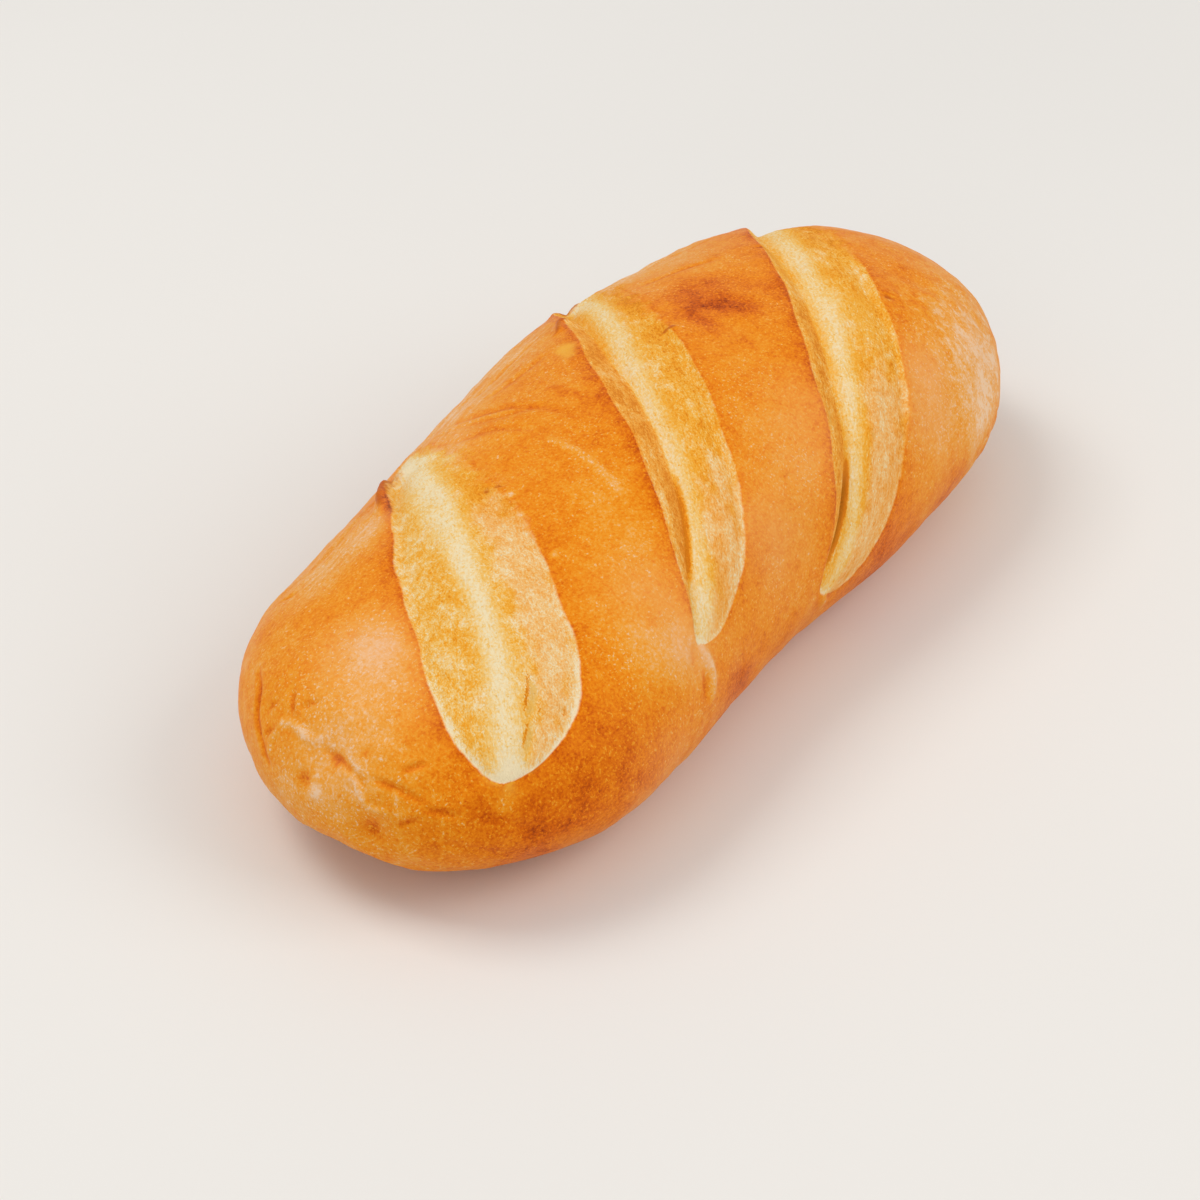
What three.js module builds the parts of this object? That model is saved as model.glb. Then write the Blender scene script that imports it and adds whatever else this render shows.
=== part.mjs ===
// A short, fat white loaf of the baton kind, baked with three diagonal slashes across its top.
// The loaf is one solid. It lies on its flat base, with its length along X and its height along Z,
// and the origin is at the middle of the base. The slashes run from the +Y shoulder, over the
// ridge, down to the -Y flank.
import * as THREE from 'three';
import { mergeVertices } from 'three/addons/utils/BufferGeometryUtils.js';

// Driving dimensions, in millimetres.
const LENGTH = 290;
const TIP_HEIGHT = 27;               // how high both tips lie over the untrimmed underside
const BASE_TRIM = 1.5;               // the rounded underside is flattened by this much
const NEAR_BLUNTNESS = 2.6;          // 2 is an ellipse, more is a blunter end
const FAR_BLUNTNESS = 4;

// Even stations from the -X end to the +X end: half the loaf's width there, its height, and how far
// its middle line swerves towards +Y, each before the ends are rounded off.
const HALF_WIDTHS = [79, 71, 61, 58, 62, 61.5, 62, 55];
const HEIGHTS = [75, 67.5, 69, 73, 75.5, 75.5, 75.5, 76];
const SWERVES = [-4, 0, 0, 3, 4, 1.5, 0, -5];

// Each slash is given on the skin of the loaf: how far along the loaf (x) and how far round it from
// the ridge (around, + towards -Y). The near edge faces -X, and its flap of crust stands proud.
// The far edge faces +X. A bow is how far an edge strays from the straight line between the ends,
// widestAt is where, from -1 at the head to 1 at the tail, and the fullness rounds it off to there.
// The valley is the lowest line across a slash, at even stations from head to tail, each from -1 at
// the near edge to 1 at the far one. A flap below 0 rolls down to its edge.
const SLASHES = [
  {
    head: { x: -42, around: -53 },
    tail: { x: -124, around: 41 },
    nearEdge: { bow: 14.2, widestAt: 0.58, headFullness: 1.4, tailFullness: 2.1 },
    farEdge: { bow: 24.2, widestAt: 0.52, headFullness: 1.4, tailFullness: 2.4 },
    valley: [-0.78, -0.78, -0.78, -0.8, -0.82, -0.85, -0.88],
    depth: { atHead: 2.8, atTail: 1.8 },
    sunk: { atHead: 3, atTail: 0.8 },
    flap: -0.3,
    swell: 2,
  },
  {
    head: { x: 46, around: -64 },
    tail: { x: -60.5, around: 58.5 },
    nearEdge: { bow: 3, widestAt: 0.05, headFullness: 1.9, tailFullness: 2.5 },
    farEdge: { bow: 23, widestAt: 0.48, headFullness: 3.1, tailFullness: 2 },
    valley: [-0.6, -0.6, -0.55, -0.38, -0.36, -0.5, -0.9],
    depth: { atHead: 4.4, atTail: 2.2 },
    sunk: { atHead: 3.6, atTail: 0.9 },
    flap: 1.5,
    swell: 1.4,
  },
  {
    head: { x: 119, around: -43.5 },
    tail: { x: -3, around: 85 },
    nearEdge: { bow: 8.5, widestAt: 0.15, headFullness: 1.8, tailFullness: 2.8 },
    farEdge: { bow: 20, widestAt: 0.46, headFullness: 3.4, tailFullness: 3.8 },
    valley: [-0.6, -0.65, -0.7, -0.68, -0.74, -0.74, -0.93],
    depth: { atHead: 4.2, atTail: 2.2 },
    sunk: { atHead: 3.2, atTail: 0.8 },
    flap: 1.4,
    swell: 1.3,
  },
];
const FLAP_REACH = 7;                // the proud crust falls away over this distance
const FAR_STEP = { atHead: 7, belowHead: 3 };   // width of the step up to the crust beyond a slash
const DOUGH_FULLNESS = { atHead: 2, atTail: 4 };   // how steeply the dough rises from the valley

// Dents (height below 0) and low swellings of the crust, placed as the slashes are.
const LUMPS = [
  { x: -86, around: -47, radius: 17, height: -2 },
  { x: -140, around: -6, radius: 6, height: -1.2 },
  { x: -144, around: 12, radius: 7, height: -1.2 },
  { x: -97, around: 72, radius: 20, height: 1.4 },
  { x: -44, around: 78, radius: 18, height: -1.2 },
];

// How finely the skin is divided.
const RINGS = 90;
const SPOKES = 60;
const RIDGE_CLOSENESS = 0.72;        // spokes lie closer together near the ridge than underneath

// A smooth value between even stations, at t from -1 to 1 along the loaf.
function alongStations(values, t) {
  const curve = new THREE.SplineCurve(values.map((value, i) => new THREE.Vector2(i, value)));
  return curve.getPoint((t + 1) / 2).y;
}

// How far the ends are rounded off: 1 in the middle of the loaf, 0 at its tips.
function roundOff(t) {
  const bluntness = t < 0 ? NEAR_BLUNTNESS : FAR_BLUNTNESS;
  return Math.sqrt(Math.max(0, 1 - Math.abs(t) ** bluntness));
}

// The loaf's outline from tip to tip. Even steps along it place the rings.
class Outline extends THREE.Curve {
  getPoint(share, target = new THREE.Vector2()) {
    const t = Math.sin((share - 0.5) * Math.PI);
    return target.set(t * LENGTH / 2, roundOff(t) * HALF_WIDTHS[3]);
  }
}

// One cross-section of the loaf, from the middle of the underside up the +Y side, over the ridge
// and down the -Y side. It is a squared-off oval with a flat underside.
class Section extends THREE.Curve {
  constructor(t) {
    super();
    const rounded = roundOff(t);
    this.arcLengthDivisions = 400;
    this.x = t * LENGTH / 2;
    this.halfWidth = alongStations(HALF_WIDTHS, t) * rounded;
    this.middle = alongStations(SWERVES, t);
    this.top = TIP_HEIGHT + (alongStations(HEIGHTS, t) - TIP_HEIGHT) * rounded;
    this.bottom = TIP_HEIGHT * (1 - rounded ** 0.8);
    this.widestAt = this.bottom + 0.42 * (this.top - this.bottom);
  }

  getPoint(share, target = new THREE.Vector3()) {
    const angle = (share - 0.25) * 2 * Math.PI;
    const across = Math.cos(angle);
    const up = Math.sin(angle);
    const y = this.middle + this.halfWidth * Math.sign(across) * Math.abs(across) ** 0.92;
    const rise = (this.top - this.widestAt) * Math.abs(up) ** 0.96;
    const drop = 1.22 * (this.widestAt - this.bottom) * Math.abs(up) ** 0.95;
    const z = up > 0 ? this.widestAt + rise : Math.max(this.bottom, this.widestAt - drop);
    return target.set(this.x, y, z);
  }
}

// The point of the plain skin at a place given along the loaf and round it from the ridge.
function skinPoint({ x, around }) {
  const section = new Section(x / (LENGTH / 2));
  return section.getPointAt(0.5 + around / section.getLength());
}

// How far a slash's edge strays from its straight line, at u from -1 (head) to 1 (tail).
function edgeOffset(edge, u) {
  const towardsHead = u < edge.widestAt;
  const reach = towardsHead ? 1 + edge.widestAt : 1 - edge.widestAt;
  const fullness = towardsHead ? edge.headFullness : edge.tailFullness;
  const share = Math.min(1, Math.abs(u - edge.widestAt) / reach);
  return edge.bow * Math.sqrt(1 - share ** fullness);
}

// How far a slash lowers or raises the skin at one point of it.
function slashRelief(slash, x, around) {
  const { head, tail, valley, depth, sunk, flap, swell } = slash;
  const { lerp, smoothstep } = THREE.MathUtils;
  const line = new THREE.Vector2(tail.x - head.x, tail.around - head.around);
  const halfLength = line.length() / 2;
  line.normalize();
  const fromMiddle = new THREE.Vector2(
    x - (head.x + tail.x) / 2,
    around - (head.around + tail.around) / 2,
  );
  const u = fromMiddle.dot(line) / halfLength;
  if (Math.abs(u) >= 1) return 0;

  const sideways = fromMiddle.x * line.y - fromMiddle.y * line.x;
  const near = -edgeOffset(slash.nearEdge, u);
  const far = edgeOffset(slash.farEdge, u);
  const opening = Math.sqrt(1 - u ** 4);
  const farLip = 0.4 * flap;
  if (sideways < near) return flap * opening * Math.exp((sideways - near) / FLAP_REACH);
  if (sideways > far) return farLip * opening * Math.exp((far - sideways) / FLAP_REACH);

  const towardsTail = (u + 1) / 2;
  const v = -1 + 2 * (sideways - near) / (far - near);
  const valleyAt = alongStations(valley, u);
  const deepest = lerp(depth.atHead, depth.atTail, towardsTail ** 1.3);
  if (v < valleyAt) return opening * lerp(flap, -deepest, smoothstep(v, -1, valleyAt));

  const rise = (v - valleyAt) / (1 - valleyAt);
  const step = lerp(sunk.atHead, sunk.atTail, towardsTail ** 0.45);
  const fullness = lerp(DOUGH_FULLNESS.atHead, DOUGH_FULLNESS.atTail, smoothstep(u, -0.3, 0.5));
  const slope = (deepest - step) * (1 - rise) ** fullness;
  const floor = -step - slope + swell * Math.sin(rise * Math.PI);
  const farStep = lerp(FAR_STEP.atHead, FAR_STEP.belowHead, smoothstep(u, -0.6, 0.1));
  const inside = smoothstep(far - sideways, 0, farStep);
  return opening * lerp(farLip, floor, inside);
}

function lumpRelief(lump, place) {
  const distance = place.distanceTo(lump.centre) / lump.radius;
  return lump.height * Math.exp(-(distance ** 2));
}

// The share of the way round at which a spoke lies, with closer spokes near the ridge.
function spokeShare(spoke) {
  const fromRidge = 2 * spoke / SPOKES - 1;
  const spread = RIDGE_CLOSENESS + (1 - RIDGE_CLOSENESS) * fromRidge ** 2;
  return 0.5 + 0.5 * fromRidge * spread;
}

// The skin before it is slashed, as rings of points, each with its distance round from the ridge.
function plainSkin() {
  const outline = new Outline();
  outline.arcLengthDivisions = 2000;
  const rings = [];
  for (let ring = 1; ring < RINGS; ring += 1) {
    const section = new Section(outline.getPointAt(ring / RINGS).x / (LENGTH / 2));
    const girth = section.getLength();
    const points = [];
    for (let spoke = 0; spoke < SPOKES; spoke += 1) {
      const share = spokeShare(spoke);
      points.push({ place: section.getPointAt(share), around: (share - 0.5) * girth });
    }
    rings.push(points);
  }
  return rings;
}

// The direction that points out of the skin at one point, from its neighbours.
function outward(rings, ring, spoke) {
  const before = rings[Math.max(0, ring - 1)][spoke].place;
  const after = rings[Math.min(rings.length - 1, ring + 1)][spoke].place;
  const left = rings[ring][(spoke + SPOKES - 1) % SPOKES].place;
  const right = rings[ring][(spoke + 1) % SPOKES].place;
  const lengthwise = after.clone().sub(before);
  const round = right.clone().sub(left);
  return round.cross(lengthwise).normalize();
}

// The triangles between neighbouring rings and out to both tips. Each four-sided cell is split
// along the way that the slashes run, so that their edges stay clean.
function skinFaces(ringCount, nearTip, farTip) {
  const faces = [];
  const lastRing = (ringCount - 1) * SPOKES;
  for (let spoke = 0; spoke < SPOKES; spoke += 1) {
    const next = (spoke + 1) % SPOKES;
    faces.push(nearTip, next, spoke);
    faces.push(farTip, lastRing + spoke, lastRing + next);
    for (let start = 0; start < lastRing; start += SPOKES) {
      const [a, b] = [start + spoke, start + next];
      faces.push(a, b, a + SPOKES);
      faces.push(b, b + SPOKES, a + SPOKES);
    }
  }
  return faces;
}

// The skin with its slashes, dents and swellings, closed at both tips, as one triangle mesh.
function loafGeometry() {
  const rings = plainSkin();
  const lumps = LUMPS.map((lump) => ({ ...lump, centre: skinPoint(lump) }));
  const positions = [];
  rings.forEach((points, ring) => {
    points.forEach(({ place, around }, spoke) => {
      let relief = 0;
      for (const slash of SLASHES) relief += slashRelief(slash, place.x, around);
      for (const lump of lumps) relief += lumpRelief(lump, place);
      const moved = place.clone().addScaledVector(outward(rings, ring, spoke), relief);
      positions.push(moved.x, moved.y, Math.max(0, moved.z - BASE_TRIM));
    });
  });
  const nearTip = positions.length / 3;
  for (const end of [-1, 1]) {
    positions.push(end * LENGTH / 2, alongStations(SWERVES, end), TIP_HEIGHT - BASE_TRIM);
  }

  const geometry = new THREE.BufferGeometry();
  geometry.setAttribute('position', new THREE.Float32BufferAttribute(positions, 3));
  geometry.setIndex(skinFaces(rings.length, nearTip, nearTip + 1));
  geometry.computeBoundingBox();
  const middle = geometry.boundingBox.getCenter(new THREE.Vector3());
  geometry.translate(-middle.x, -middle.y, -geometry.boundingBox.min.z);
  const merged = mergeVertices(geometry);
  merged.computeVertexNormals();
  return merged;
}

const crust = new THREE.MeshStandardMaterial({ color: 0xd98a3a, roughness: 0.55, metalness: 0 });

const loaf = new THREE.Mesh(loafGeometry(), crust);
loaf.name = 'loaf';

const model = new THREE.Group();
model.add(loaf);

export default model;
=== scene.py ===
# %% [markdown]
# A short, fat white loaf with three slashes.
# This lesson dresses one loaf of bread. A plain solid of the loaf is already there, at its real
# size, as the frame. We load it first and keep its box, because whatever we model has to stay in
# it. Blender's own lengths are metres, and the loaf's measures below are in millimetres.

# %% Load the frame
import math

import bpy
import numpy as np
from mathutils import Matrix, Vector, noise


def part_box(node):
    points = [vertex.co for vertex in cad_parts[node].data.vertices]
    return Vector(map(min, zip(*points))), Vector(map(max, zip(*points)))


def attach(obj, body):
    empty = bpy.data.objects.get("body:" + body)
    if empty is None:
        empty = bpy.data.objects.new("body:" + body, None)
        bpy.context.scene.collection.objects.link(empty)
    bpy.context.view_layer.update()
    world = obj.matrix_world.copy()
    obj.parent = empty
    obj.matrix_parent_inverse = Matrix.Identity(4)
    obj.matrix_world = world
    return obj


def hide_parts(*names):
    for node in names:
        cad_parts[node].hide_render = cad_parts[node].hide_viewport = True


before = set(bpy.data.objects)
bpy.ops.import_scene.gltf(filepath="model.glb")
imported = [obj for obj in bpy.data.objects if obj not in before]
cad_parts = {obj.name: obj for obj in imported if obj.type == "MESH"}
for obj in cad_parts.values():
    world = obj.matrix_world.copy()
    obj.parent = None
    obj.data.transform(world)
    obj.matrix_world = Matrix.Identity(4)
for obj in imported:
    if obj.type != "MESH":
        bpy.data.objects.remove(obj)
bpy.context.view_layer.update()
loaf_low, loaf_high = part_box("loaf")
MM = 0.001
print("frame:", sorted(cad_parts), "size", [round(v, 4) for v in loaf_high - loaf_low])


# %% [markdown]
# The camera looks from the photo's angle: about 0.77 m off, a little over a third of the way up
# to overhead, along the loaf from its near end. The long lens keeps the far end almost as large
# as the near one.

# %% Set up the camera
CAMERA_PLACE = Vector((-0.5316, -0.3356, 0.4500))
CAMERA_TILT = math.radians(35.6)         # down from level
CAMERA_HEADING = math.radians(56.80)     # round from +Y towards +X
LENS = 83.64                             # millimetres
SENSOR_WIDTH = 36                        # millimetres


def deselect_all():
    """Nothing stays selected or active, so an operator only touches what comes next."""
    if bpy.context.object and bpy.context.object.mode != "OBJECT":
        bpy.ops.object.mode_set(mode="OBJECT")
    bpy.ops.object.select_all(action="DESELECT")


deselect_all()
bpy.ops.object.camera_add(
    location=CAMERA_PLACE,
    rotation=(math.pi / 2 - CAMERA_TILT, 0, -CAMERA_HEADING),
)
camera = bpy.context.object
camera.name = "camera"
camera.data.lens = LENS
camera.data.sensor_width = SENSOR_WIDTH
camera.data.clip_start = 0.01
bpy.context.scene.camera = camera
print("camera", [round(v, 3) for v in camera.location], "lens", LENS)


# %% [markdown]
# The floor is one large pale sheet that the loaf lies on. It is stage, not part of the object.

# %% Lay the floor
FLOOR_SIZE = 16.0     # metres

deselect_all()
bpy.ops.mesh.primitive_plane_add(size=FLOOR_SIZE, location=(0, 0, 0))
floor = bpy.context.object
floor.name = "floor"
print("floor", FLOOR_SIZE, "m square")


# %% [markdown]
# Soft studio light. A large panel behind and to the left of the camera's view lights the top and
# casts the short shadow to the right. A second panel, low on the right, puts a broad sheen on the
# flank, a weak one in front opens the near end, and a bright surround keeps the shadows open. The
# plain view transform keeps the strong orange of the crust, which a filmic one would wash out.

# %% Light the studio
LIGHTS = [
    # name, place, size, watts, colour
    ("key_panel", (-0.30, 0.95, 1.65), 0.9, 12.2, (1.0, 0.97, 0.92)),
    ("fill_panel", (0.45, -1.25, 1.15), 1.1, 8.8, (1.0, 0.97, 0.93)),
    ("front_panel", (-1.35, -0.35, 0.75), 0.9, 2.2, (1.0, 0.97, 0.94)),
]
SURROUND = (1.0, 0.985, 0.96)
SURROUND_STRENGTH = 0.58
LIT_SPOT = (0, 0, 0.04)     # the panels are turned towards this place


def aim(thing, at):
    thing.rotation_euler = (Vector(at) - thing.location).to_track_quat("-Z", "Y").to_euler()


for name, place, size, watts, colour in LIGHTS:
    deselect_all()
    bpy.ops.object.light_add(type="AREA", location=place)
    panel = bpy.context.object
    panel.name = name
    panel.data.size = size
    panel.data.energy = watts
    panel.data.color = colour
    aim(panel, LIT_SPOT)
    print(name, watts, "W")

surround = bpy.data.worlds.new("surround")
surround.use_nodes = True
surround.node_tree.nodes["Background"].inputs["Color"].default_value = (*SURROUND, 1)
surround.node_tree.nodes["Background"].inputs["Strength"].default_value = SURROUND_STRENGTH
bpy.context.scene.world = surround
bpy.context.scene.view_settings.view_transform = "Standard"


# %% [markdown]
# The loaf's body. On the real loaf, dough rolled into a log spreads as it proves, so each
# cross-section is a squat oval with a flat underside, and both ends are round. We could push a
# ball about by hand, but the shape has to be the frame's, so we give each place on the skin by a
# formula: first the smooth values along the loaf, then the section at each of them.

# %% Measures of the plain loaf
LENGTH = 290.0           # mm
TIP_HEIGHT = 27.0        # mm, where both ends are furthest out
BASE_TRIM = 1.5          # mm that is cut off flat underneath
NEAR_BLUNTNESS = 2.6     # the end's outline, 2 is round and more is squarer
FAR_BLUNTNESS = 4.0
# At even stations from the near tip to the far one, in mm:
HALF_WIDTHS = [79, 71, 61, 58, 62, 61.5, 62, 55]
HEIGHTS = [75, 67.5, 69, 73, 75.5, 75.5, 75.5, 76]
SWERVES = [-4, 0, 0, 3, 4, 1.5, 0, -5]


def along_stations(values, t):
    """A smooth value between even stations, at t from -1 to 1."""
    values = np.asarray(values, float)
    last = len(values) - 1
    place = (np.clip(t, -1, 1) + 1) / 2 * last
    i = np.minimum(place.astype(int), last - 1)
    w = place - i
    before, here = values[np.maximum(i - 1, 0)], values[i]
    there, after = values[i + 1], values[np.minimum(i + 2, last)]
    start, end = (there - before) / 2, (after - here) / 2
    cubic = (2 * here - 2 * there + start + end) * w**3
    square = (-3 * here + 3 * there - 2 * start - end) * w**2
    return cubic + square + start * w + here


def round_off(t):
    """1 in the middle of the loaf, 0 at its tips."""
    bluntness = np.where(t < 0, NEAR_BLUNTNESS, FAR_BLUNTNESS)
    return np.sqrt(np.maximum(0, 1 - np.abs(t) ** bluntness))


print("half width in the middle", float(along_stations(HALF_WIDTHS, np.array([0.0]))[0]))


# %% [markdown]
# The section's points come in even steps round it, from the middle of the underside, up the +Y
# side, over the ridge and down the -Y side. So a place on the skin is given by two numbers, how
# far along (x) and how far round from the ridge (around), as on a map of the skin.

# %% The skin as a map
MAP_ROWS = 700           # along the loaf
MAP_COLUMNS = 900        # round it
FINE = 1600              # steps in which a section is first drawn


def section_points(t):
    """Points round each section, in mm, from the middle of the underside and back to it."""
    rounded = round_off(t)
    top = TIP_HEIGHT + (along_stations(HEIGHTS, t) - TIP_HEIGHT) * rounded
    bottom = TIP_HEIGHT * (1 - rounded**0.8)
    widest = bottom + 0.42 * (top - bottom)
    half_width = along_stations(HALF_WIDTHS, t) * rounded
    angle = (np.linspace(0, 1, FINE + 1) - 0.25) * 2 * math.pi
    across, up = np.cos(angle), np.sin(angle)
    side = half_width[:, None] * np.sign(across) * abs(across) ** 0.92
    rise = (top - widest)[:, None] * abs(up) ** 0.96
    drop = 1.22 * (widest - bottom)[:, None] * abs(up) ** 0.95
    lower = np.maximum(bottom[:, None], widest[:, None] - drop)
    height = np.where(up > 0, widest[:, None] + rise, lower)
    return along_stations(SWERVES, t)[:, None] + side, height


def skin_map():
    """Places on the plain skin in mm, in rows along the loaf, and the girth of each row."""
    t = np.sin(np.linspace(-math.pi / 2, math.pi / 2, MAP_ROWS))
    y, z = section_points(t)
    places = np.empty((MAP_ROWS, MAP_COLUMNS + 1, 3))
    girth = np.empty(MAP_ROWS)
    even = np.linspace(0, 1, MAP_COLUMNS + 1)
    for row in range(MAP_ROWS):
        steps = np.hypot(np.diff(y[row]), np.diff(z[row]))
        walked = np.concatenate([[0], np.cumsum(steps)])
        girth[row] = walked[-1]
        share = walked / max(walked[-1], 1e-9)
        places[row, :, 0] = t[row] * LENGTH / 2
        places[row, :, 1] = np.interp(even, share, y[row])
        places[row, :, 2] = np.interp(even, share, z[row])
    return places, girth


SKIN, GIRTH = skin_map()
print("girth in the middle", round(float(GIRTH[MAP_ROWS // 2]), 1), "mm")


# %% [markdown]
# Reading the map between its points gives any place on the skin, and the way out of the skin
# there, which is where relief will be added.

# %% Read the map

def row_of(t):
    return (np.arcsin(np.clip(t, -1, 1)) / math.pi + 0.5) * (MAP_ROWS - 1)


def read_map(table, row, share):
    """Values of a table on the map's grid, between its points."""
    column = np.mod(share, 1) * MAP_COLUMNS
    r0 = np.minimum(row.astype(int), MAP_ROWS - 2)
    c0 = np.minimum(column.astype(int), MAP_COLUMNS - 1)
    fr, fc = (row - r0)[:, None], (column - c0)[:, None]
    upper = table[r0, c0] * (1 - fc) + table[r0, c0 + 1] * fc
    lower = table[r0 + 1, c0] * (1 - fc) + table[r0 + 1, c0 + 1] * fc
    return upper * (1 - fr) + lower * fr


def outward_map():
    """The direction out of the skin at each point of the map."""
    lengthwise = np.gradient(SKIN, axis=0)
    ring = SKIN[:, :-1]
    roundwise = np.roll(ring, -1, axis=1) - np.roll(ring, 1, axis=1)
    roundwise = np.concatenate([roundwise, roundwise[:, :1]], axis=1)
    out = np.cross(roundwise, lengthwise)
    long = np.linalg.norm(out, axis=2, keepdims=True)
    tips = np.sign(SKIN[..., :1]) * np.array([1.0, 0, 0])
    return np.where(long > 1e-9, out / np.maximum(long, 1e-9), tips)


OUTWARD = outward_map()


def girth_at(row):
    return np.interp(row, np.arange(MAP_ROWS), GIRTH)


def skin_places(x, around):
    """Points of the plain skin, each given in mm along it and round it."""
    row = row_of(np.asarray(x, float) / (LENGTH / 2))
    return read_map(SKIN, row, 0.5 + np.asarray(around, float) / girth_at(row))


print("ridge in the middle", skin_places([0], [0])[0].round(1))


# %% [markdown]
# The slashes. The proved loaf is cut with a blade held almost flat, and in the oven each
# cut opens: the near side lifts as a thin flap of crust, and pale dough swells up out of the
# valley beneath it until it is nearly flush with the crust on the far side. Each slash is an
# almond on the skin map, with a head, a tail and two bowed edges.

# %% Measures of the slashes
SLASHES = [
    {
        "head": (-42, -53), "tail": (-124, 41),
        "near": {"bow": 14.2, "widest": 0.58, "head": 1.4, "tail": 2.1},
        "far": {"bow": 24.2, "widest": 0.52, "head": 1.4, "tail": 2.4},
        "depth": (2.4, 1.2), "sunk": (2.6, 0.6), "flap": -0.5, "swell": 2.2,
        "valley": [-0.90, -0.90, -0.90, -0.92, -0.93, -0.93, -0.93],
        "stripe": [-0.15, -0.08, -0.07, -0.06, -0.05, -0.10, -0.26],
        "stripe_width": [6.5, 7.5, 7.0, 4.5, 3.6, 5.0, 6.0],
        "peach": (-0.5, 0.15), "slit": 0.0, "slit_span": (2, 3), "fades_until": 0.05,
        "rim": (0.35, 1.0), "baked": -0.11, "wall": (2, 0),
    },
    {
        "head": (46, -64), "tail": (-60.5, 58.5),
        "near": {"bow": 3, "widest": 0.05, "head": 1.9, "tail": 2.5},
        "far": {"bow": 23, "widest": 0.48, "head": 3.1, "tail": 2.0},
        "depth": (3.6, 1.5), "sunk": (2.7, 0.6), "flap": 1.2, "swell": 1.4,
        "valley": [-0.60, -0.60, -0.55, -0.38, -0.36, -0.50, -0.90],
        "stripe": [0.10, 0.05, -0.12, -0.24, -0.24, -0.42, -0.28],
        "stripe_width": [5.0, 5.0, 4.8, 4.4, 4.2, 4.2, 5.0],
        "peach": (0.2, -0.2), "slit": 0.4, "slit_span": (0.45, 0.80), "fades_until": -0.2,
        "rim": (0.3, 0.4), "baked": 0.02, "wall": (-0.75, 1.0),
    },
    {
        "head": (119, -43.5), "tail": (-3, 85),
        "near": {"bow": 8.5, "widest": 0.15, "head": 1.8, "tail": 2.8},
        "far": {"bow": 20, "widest": 0.46, "head": 3.4, "tail": 3.8},
        "depth": (3.4, 2.0), "sunk": (2.8, 0.6), "flap": 0.9, "swell": 1.3,
        "valley": [-0.60, -0.62, -0.62, -0.56, -0.54, -0.52, -0.90],
        "stripe": [-0.20, -0.24, -0.30, -0.30, -0.30, -0.30, -0.20],
        "stripe_width": [4.5, 5.0, 5.2, 4.8, 3.8, 2.8, 3.2],
        "peach": (0.0, -0.2), "slit": 0.8, "slit_span": (0.62, 0.90), "fades_until": -0.25,
        "rim": (0.7, 0.3), "baked": 0.03, "wall": (-0.4, 0.7),
    },
]
FLAP_REACH = 7.0          # mm over which the crust rises to a lifted edge
WANDER = (0.45, 0.25)     # mm that an edge strays, in long and in short waves
FAR_STEP = (7.0, 1.6)     # mm over which dough climbs to the far crust, at head and tail


def smooth_step(value, low, high):
    w = np.clip((value - low) / (high - low), 0, 1)
    return w * w * (3 - 2 * w)


def mix(a, b, w):
    return a + (b - a) * w


def edge_offset(edge, u):
    """How far an edge strays from the straight line between a slash's ends."""
    to_head = u < edge["widest"]
    reach = np.where(to_head, 1 + edge["widest"], 1 - edge["widest"])
    fullness = np.where(to_head, edge["head"], edge["tail"])
    share = np.minimum(1, np.abs(u - edge["widest"]) / reach)
    return edge["bow"] * np.sqrt(1 - share**fullness)


def slash_places(slash, x, around):
    """Where points of the skin lie in a slash: u along it, and mm across and from its edges."""
    head, tail = np.array(slash["head"], float), np.array(slash["tail"], float)
    length = math.dist(head, tail)
    line = (tail - head) / length
    dx, da = x - (head[0] + tail[0]) / 2, around - (head[1] + tail[1]) / 2
    u = (dx * line[0] + da * line[1]) / (length / 2)
    sideways = dx * line[1] - da * line[0]
    inner = np.clip(u, -1, 1)
    long_waves, short_waves = np.sin(8 * u + head[0]), np.sin(21 * u + head[1])
    wander = WANDER[0] * long_waves + WANDER[1] * short_waves
    from_near = sideways + edge_offset(slash["near"], inner) + wander
    from_far = edge_offset(slash["far"], inner) - sideways + wander
    past_ends = (np.abs(u) - 1) * length / 2
    return u, sideways, from_near, from_far, past_ends


print("slashes:", len(SLASHES), "from head to tail",
      [round(math.dist(s["head"], s["tail"])) for s in SLASHES], "mm")


# %% [markdown]
# The relief of one slash is a profile across it: the proud flap, a wall down to the valley, and
# the swollen dough up to the far crust. Near the head the dough slopes gently up to the crust.
# Towards the tail it stands almost flush and presses against the wall, with a thin slit between.

# %% Profile across a slash

def slash_relief(slash, u, from_near, from_far):
    """Height in mm that a slash adds to the skin, the share across it, and mm from its valley."""
    inner = np.clip(u, -1, 1)
    towards_tail = (inner + 1) / 2
    opening = np.sqrt(1 - inner**4)
    flap, depth = slash["flap"], mix(*slash["depth"], towards_tail**1.3)
    outside_near = flap * np.exp(np.minimum(from_near, 0) / FLAP_REACH)
    outside_far = 0.4 * flap * np.exp(np.minimum(from_far, 0) / FLAP_REACH)
    width = np.maximum(from_near + from_far, 0.01)
    v = -1 + 2 * from_near / width
    valley = along_stations(slash["valley"], inner)
    into = np.clip((v + 1) / (valley + 1), 0, 1)
    down = mix(flap, -depth, 0.5 * into + 0.5 * smooth_step(into, 0, 1))
    rise = np.clip((v - valley) / (1 - valley), 0, 1)
    step = mix(*slash["sunk"], towards_tail**0.45)
    fullness = mix(2.0, 5.0, smooth_step(inner, -0.3, 0.5))
    swell = slash["swell"] * np.sin(rise * math.pi)
    dough = -step - (depth - step) * (1 - rise) ** fullness + swell
    far_step = mix(*FAR_STEP, smooth_step(inner, -0.6, 0.1))
    up = mix(0.4 * flap, dough, smooth_step(from_far / far_step, 0, 1))
    inside = np.where(v < valley, down, up)
    height = np.where(from_near < 0, outside_near, np.where(from_far < 0, outside_far, inside))
    from_valley = (v - valley) * width / 2
    slit = slash["slit"] * in_slit(slash, u) * np.exp(-((from_valley / 0.6) ** 2))
    return np.where(np.abs(u) < 1, opening * (height - slit), 0), v, from_valley


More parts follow.
